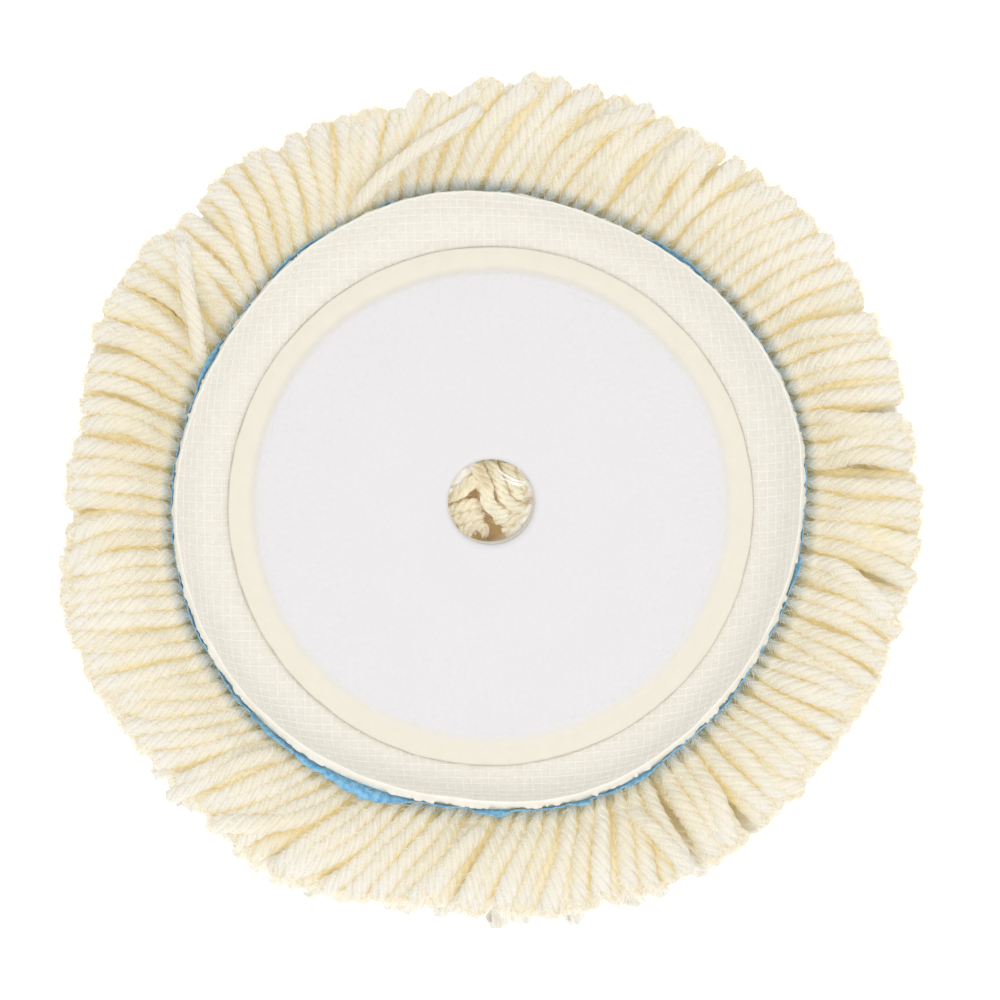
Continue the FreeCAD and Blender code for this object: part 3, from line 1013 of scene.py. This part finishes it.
def make_fuzz(name, sources, count, seed, size=1.0, tips=0.0):
    """Loose wool hairs: closed tapered prisms that lie along the strands and stand off them."""
    r = np.random.default_rng(seed)
    paths = np.concatenate([d[0] for d in sources])
    widths = np.concatenate([d[1] for d in sources])
    n, m, _ = paths.shape
    i = r.integers(0, n, count)
    at_tip = r.random(count) < tips
    u = np.where(at_tip, 1 - 0.1 * r.random(count), r.uniform(0.02, 0.98, count)) * (m - 1)
    j = np.clip(u.astype(int), 0, m - 2)
    f = (u - j)[:, None]
    centre = paths[i, j] * (1 - f) + paths[i, j + 1] * f
    along = unit(paths[i, j + 1] - paths[i, j])
    up = np.tile([0.0, 0.0, 1.0], (count, 1))
    side = np.cross(up, along)
    side /= np.linalg.norm(side, axis=1, keepdims=True) + 1e-9
    up = np.cross(along, side)
    a = r.normal(0, 1.0, count)
    out = np.cos(a)[:, None] * up + np.sin(a)[:, None] * side
    turn = -np.sin(a)[:, None] * up + np.cos(a)[:, None] * side
    base = centre + out * (widths[i, j] * 0.86)[:, None]
    ahead = along * r.uniform(0.5, 1.0, count)[:, None] - turn * r.normal(0.45, 0.5, count)[:, None]
    ahead = ahead + out * r.uniform(0.05, 0.5, count)[:, None]
    ahead = unit(np.where(at_tip[:, None], along + 0.6 * r.standard_normal((count, 3)), ahead))
    reach_out = np.where(at_tip, r.uniform(1.2, 2.8, count), r.uniform(1.4, 3.6, count))[:, None] * size
    curl = 0.35 * r.standard_normal((count, 3))
    t = np.array([0.0, 0.45, 0.8])[None, :, None]
    line = base[:, None] + ahead[:, None] * reach_out[:, None] * t
    line = line + curl[:, None] * reach_out[:, None] * (t * (1 - t) - 0.35 * t**2)
    tip = base + ahead * reach_out - 0.35 * curl * reach_out
    b = unit(np.cross(ahead, r.standard_normal((count, 3))))
    c = np.cross(ahead, b)
    thick = (HAIR * r.uniform(0.7, 1.3, count))[:, None, None, None]
    shape = np.array([1.0, 0.85, 0.55])[None, :, None, None]
    angle = np.arange(3) * TAU / 3
    round_it = (np.cos(angle)[None, None, :, None] * b[:, None, None]
                + np.sin(angle)[None, None, :, None] * c[:, None, None])
    rings = line[:, :, None] + round_it * thick * shape
    points = np.concatenate([rings.reshape(count, 9, 3), tip[:, None]], axis=1)
    points[..., 2] = np.maximum(points[..., 2], FLOOR_GAP)
    shift = (np.arange(count) * 10)[:, None, None]
    quads = (grid_faces(3, 3, wrap_columns=True)[None] + shift).reshape(-1, 4)
    fans = np.array([[0, 2, 1], [6, 7, 9], [7, 8, 9], [8, 6, 9]])
    return mesh(name, points.reshape(-1, 3), [quads, (fans[None] + shift).reshape(-1, 3)], FUZZ)


def make_fringe():
    """Five staggered rings of tufts on the wall. The last one is seen, with strays across it."""
    rings = []
    for k in range(5):
        number = 13 + k
        dense, shown = k > 2, k == 4
        data = fringe_parts(k, 0.5 * (number % 2), 44 if dense else 34, 0.10 if shown else 0.05)
        parts = [build_strands(data, 16 if dense else 12)]
        if shown:
            stray = hand_strands(STRAY, [1.95] * len(STRAY), 40, 91)
            lines, share, length, tones = build_strands(stray)
            # The strays' share along starts at 0.2, past the painted shade at the roots
            parts.append((lines, 0.2 + 0.8 * share, length, tones))
        yarn_piece(f"yarn_ring_{number:02d}", parts, UNDER if k in (2, 3) else WOOL,
                   f"tuft_ring_{number:02d}")
        rings.append(data)
    for number in range(3):
        make_fuzz(f"fuzz_fringe_{number + 1}", rings[4:], 10500, 300 + number, 1.0, 0.22)
    make_fuzz("fuzz_stray", [stray], 700, 310, 0.9, 0.1)
    make_fuzz("fuzz_tips_1", rings[3:4], 9000, 311, 1.0, 0.6)
    for number in range(2):
        make_fuzz(f"fuzz_tips_{number + 2}", rings[3:], 12000, 312 + number, 1.25, 0.95)


def make_pile():
    for k in range(len(PILE_ROWS)):
        parts = [build_strands(pile_parts(k), 12, 0.24)]
        yarn_piece(f"yarn_ring_{k + 1:02d}", parts, WOOL, f"tuft_ring_{k + 1:02d}")


# Tufts that lean in under the hole: x, y, height
UNDER_HOLE = [
    [(-13.2, 1.6, 26.4), (-11.0, 0.6, 23.4), (-7.6, 1.8, 23.0), (-4.6, 4.6, 22.8), (-2.4, 4.6, 21.6),
     (-1.2, 2.2, 19.0)],
    [(-13.0, -3.4, 26.4), (-10.6, -3.2, 22.0), (-7.2, -2.0, 21.4), (-4.6, -1.2, 20.6), (-3.2, -2.0, 17.6)],
    [(-11.8, -6.6, 26.4), (-9.6, -5.8, 22.2), (-6.4, -4.6, 21.8), (-3.6, -3.8, 20.4), (-2.6, -4.6, 17.2)],
    [(-9.4, -9.8, 26.4), (-7.8, -8.4, 22.2), (-5.0, -7.0, 21.6), (-2.8, -6.4, 20.0), (-1.8, -7.2, 17.0)],
    [(-7.4, -11.8, 26.4), (-6.4, -10.4, 22.0), (-4.4, -9.2, 21.0), (-2.2, -8.2, 19.8), (-1.2, -6.6, 17.6)],
    [(-4.6, 13.0, 26.4), (-4.4, 10.6, 23.6), (-2.6, 6.6, 23.6), (-0.9, 3.0, 23.2), (-0.9, -0.6, 22.8),
     (1.4, -3.0, 22.2), (4.6, -4.0, 21.4)],
    [(-1.0, 13.6, 26.4), (-0.6, 10.8, 23.2), (1.0, 6.6, 22.8), (2.4, 3.4, 22.6), (3.2, 0.6, 22.4),
     (5.4, -1.6, 22.0), (9.4, -2.8, 21.4)],
    [(3.4, 13.2, 26.4), (3.6, 10.4, 23.0), (4.6, 7.2, 22.4), (5.6, 4.2, 22.2), (6.6, 1.6, 22.0),
     (9.2, 0.2, 21.6)],
    [(7.8, 11.0, 26.4), (7.6, 8.8, 22.8), (8.0, 5.4, 22.0), (8.6, 2.8, 21.4), (9.6, 1.2, 20.0)],
    [(13.2, -5.8, 26.4), (10.6, -5.6, 22.0), (6.6, -4.8, 21.4), (3.2, -5.2, 21.0), (1.2, -4.8, 18.6)],
    [(11.8, -7.2, 26.4), (9.6, -7.4, 21.6), (6.2, -7.4, 20.8), (3.8, -8.0, 20.2), (2.4, -7.6, 17.8)],
    [(6.6, -12.0, 26.4), (5.8, -10.4, 21.8), (4.2, -10.0, 20.4), (3.0, -9.8, 18.0)],
    [(13.4, -1.0, 26.4), (11.2, -2.2, 22.6), (7.6, -3.0, 21.6), (4.0, -2.4, 20.6), (1.6, -1.6, 19.4)],
    [(12.8, 4.0, 26.4), (11.0, 2.4, 22.4), (8.2, 0.6, 21.2), (4.6, 0.4, 20.4)],
    [(-8.6, 10.4, 26.4), (-8.2, 8.2, 22.8), (-6.6, 6.6, 21.6), (-4.0, 6.4, 20.4)],
    [(-11.8, 6.4, 26.4), (-10.2, 4.8, 22.6), (-7.6, 4.4, 21.4), (-5.0, 3.4, 20.0)],
]


def seen_through_hole(line):
    """A line moved back, more where it lies deeper, so that it shows through the hole as drawn."""
    return [(x, y + HOLE_SHIFT + 0.158 * (33.2 - z), z) for x, y, z in line]


def make_under_hole():
    """Tufts right under the hole, over a bed of tufts that hang in rings below them."""
    count = 30
    widths = np.random.default_rng(96).uniform(1.62, 1.86, len(UNDER_HOLE))
    data = hand_strands([seen_through_hole(line) for line in UNDER_HOLE], widths, 56, 92)
    r = np.random.default_rng(93)
    bed = []
    for k in range(count):
        a = TAU * (k + r.uniform(-0.3, 0.3)) / count
        to, deep = a + r.uniform(-0.5, 0.5), 16.0 - 3.2 * (k % 3)
        far = (1.0, 5.0, 8.5)[k % 3]
        stops = [(13.4, a, 26.6), (12.4, a, deep + 6.0), (far + 4, to, deep + 0.6), (far, to, deep - 1.5)]
        bed.append(seen_through_hole([(d * math.cos(at), d * math.sin(at), z) for d, at, z in stops]))
    bed = hand_strands(bed, [2.3] * count, 24, 94)
    yarn_piece("yarn_core", [build_strands(bed, 14)], CORE)
    yarn_piece("yarn_under_hole", [build_strands(data, 24, 0.28, 1.3)], LIT, "centre_tufts")
    make_fuzz("fuzz_under_hole", [data], 2400, 95, 0.8)


# ---------- floor and light, in metres
FLOOR_SIZE = 6.0
LIT_SPOT = (0, 0, 0.03)


def make_stage():
    data = bpy.data.meshes.new("floor")
    s = FLOOR_SIZE / 2
    data.from_pydata([(-s, -s, 0), (s, -s, 0), (s, s, 0), (-s, s, 0)], [], [(0, 1, 2, 3)])
    n = Nodes("floor_white")
    n.set(Base_Color=(0.9, 0.9, 0.9, 1), Roughness=0.9, Specular_IOR_Level=0.1,
          Emission_Color=(1, 1, 1, 1), Emission_Strength=0.75)
    data.materials.append(n.material)
    floor = link("floor", data)


def area_light(name, location, size, power):
    light = bpy.data.lights.new(name, "AREA")
    light.shape, light.size, light.energy = "DISK", size, power
    obj = link(name, light)
    obj.location = location
    obj.rotation_mode = "QUATERNION"
    obj.rotation_quaternion = (Vector(LIT_SPOT) - Vector(location)).to_track_quat("-Z", "Y")


def make_light():
    world = bpy.data.worlds.new("studio")
    bpy.context.scene.world = world
    world.use_nodes = True
    back = world.node_tree.nodes["Background"]
    back.inputs["Color"].default_value = (1, 1, 1, 1)
    back.inputs["Strength"].default_value = 0.95
    area_light("key", (-0.2, -0.75, 1.2), 0.6, 4.6)
    area_light("fill", (0.8, 0.3, 1.0), 0.8, 2)
    bpy.context.scene.view_settings.view_transform = "Standard"
    bpy.context.scene.view_settings.look = "None"


make_shell()
make_lock_coat()
make_scrim()
make_threads()
make_cloth()
make_melt()
make_loop_disc()
make_centre_film()
make_fringe()
make_pile()
make_under_hole()
make_stage()
make_light()
